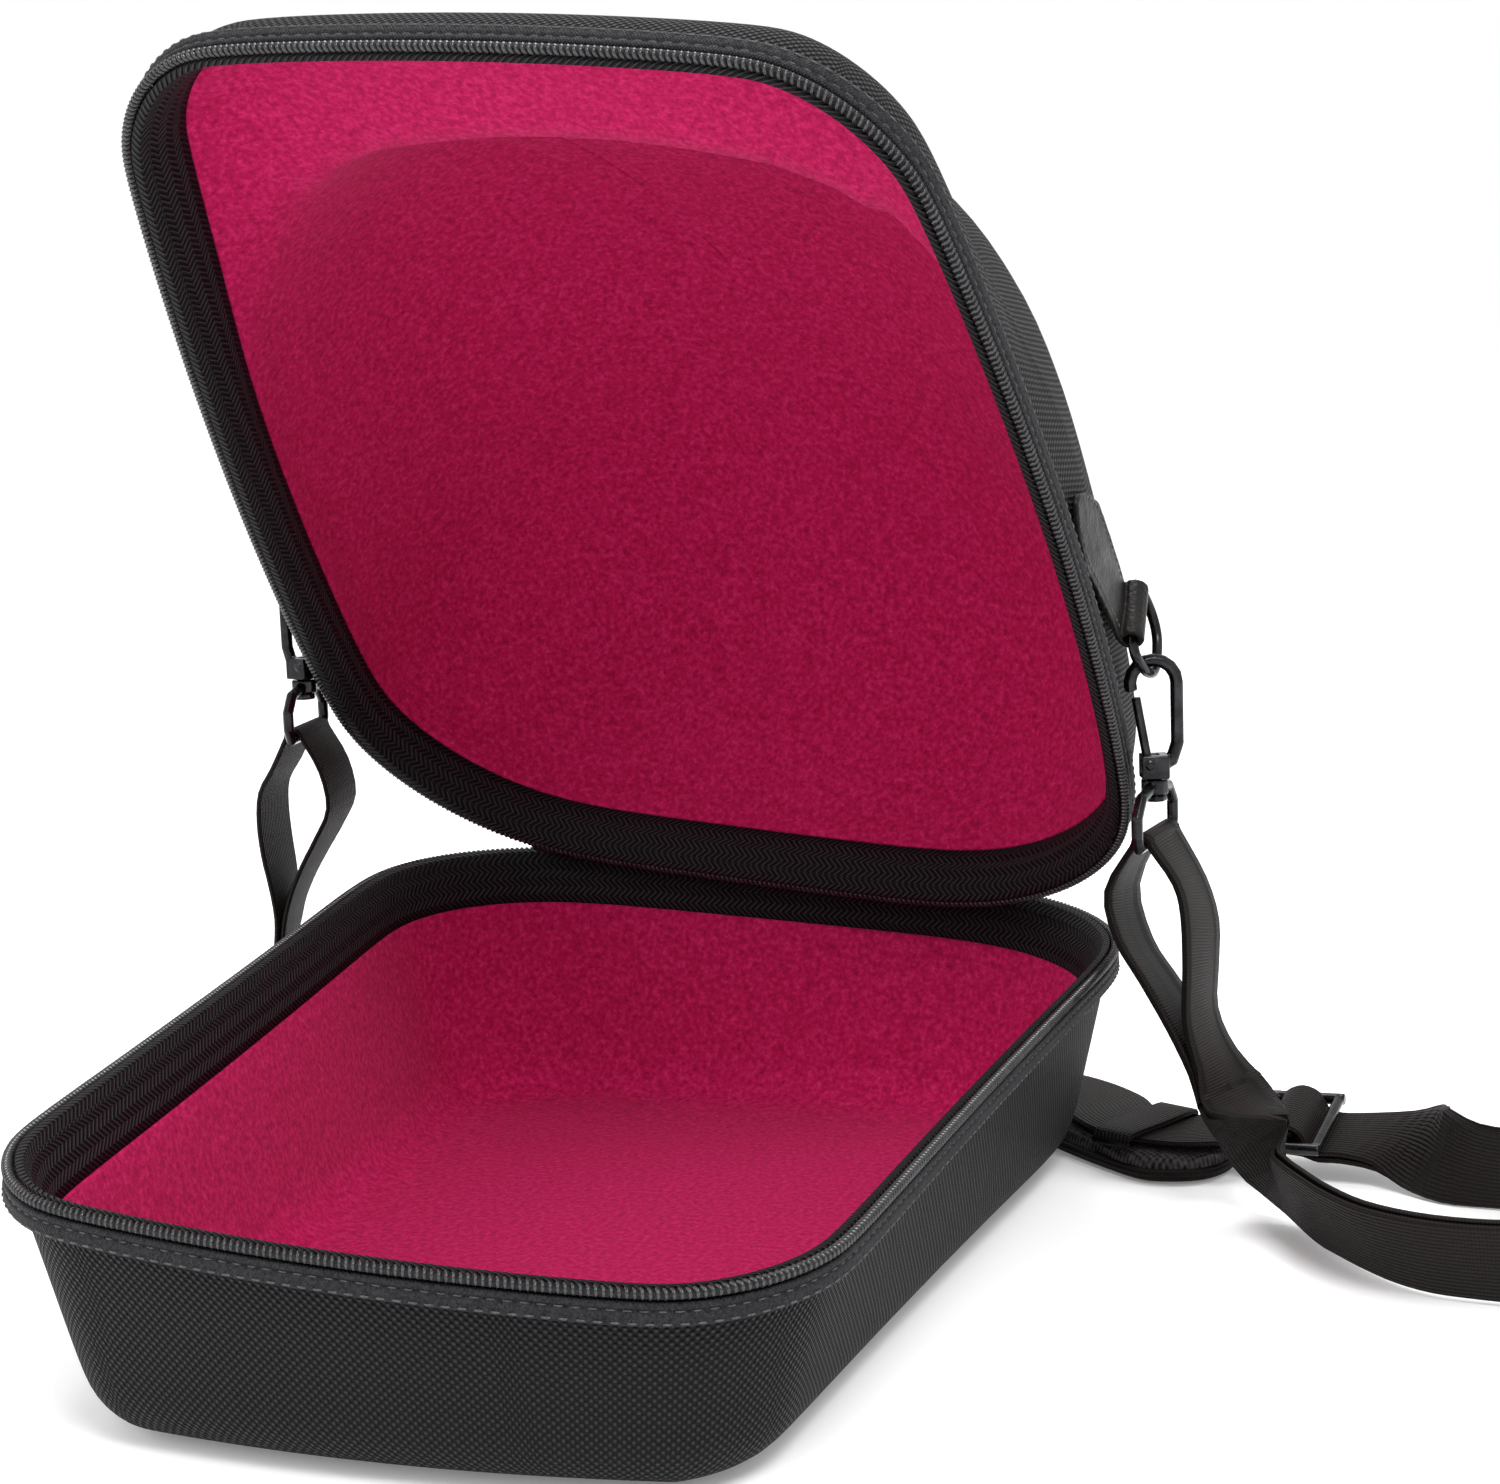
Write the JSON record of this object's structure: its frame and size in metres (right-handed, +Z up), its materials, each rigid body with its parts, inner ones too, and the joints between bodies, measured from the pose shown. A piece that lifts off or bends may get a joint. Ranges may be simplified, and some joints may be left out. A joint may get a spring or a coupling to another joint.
{
  "type": "baseball cap carrier case",
  "caption": "Moulded zip-up carrier case for baseball caps, standing open: deep tray, lid domed over the crown, red felt lining, shoulder strap with pad on snap hooks.",
  "frame": {"origin": "on the tray's flat resting face, under the middle of the tray's rim", "axes": "+Z up, -Y towards the case's front where the brims lie, +X to the right seen from the front"},
  "size_m": [0.4781, 0.3427, 0.3079],
  "materials": {
    "nylon_shell": "ballistic weave over moulded foam",
    "felt_lining": "short brushed felt",
    "black_tape": "woven tape and grained ribbon",
    "zip_coil": "smooth moulded coil",
    "black_leather": "fine grain, semi-matt",
    "black_metal": "gloss black plating",
    "webbing": "fine ribbed webbing with a sheen",
    "pad_cloth": "coarse woven top with bound edge"
  },
  "bodies": {
    "case": {"tray_shell": "nylon_shell", "tray_lining": "felt_lining", "tray_rim_band": "black_tape", "tray_zip_teeth": "zip_coil", "tray_zip_tape": "black_tape", "lid_shell": "nylon_shell", "lid_lining": "felt_lining", "lid_rim_band": "black_tape", "lid_zip_teeth": "zip_coil", "lid_zip_tape": "black_tape", "hinge_strip": "black_tape", "tab_right": "black_leather", "tab_left": "black_leather", "d_ring_right": "black_metal", "d_ring_left": "black_metal", "hook_right": "black_metal", "hook_left": "black_metal", "hook_eye_right": "black_metal", "hook_eye_left": "black_metal", "strap_webbing": "webbing", "strap_slider": "black_metal", "shoulder_pad": "pad_cloth", "pad_loop_right": "black_tape", "pad_loop_left": "black_tape"},
    "gate_right": {"gate_right": "black_metal"},
    "gate_left": {"gate_left": "black_metal"}
  },
  "joints": [
    {"name": "right_gate_pin", "type": "hinge", "parent": "case", "child": "gate_right", "pos_m": [0.12399, 0.07996, 0.11765], "axis": [-0.309, 0.9511, 0], "range_deg": [0, 22], "stiffness_Nm_per_rad": 0.01},
    {"name": "left_gate_pin", "type": "hinge", "parent": "case", "child": "gate_left", "pos_m": [-0.12446, 0.09354, 0.14106], "axis": [-0.309, -0.9511, 0], "range_deg": [0, 22], "stiffness_Nm_per_rad": 0.01}
  ]
}
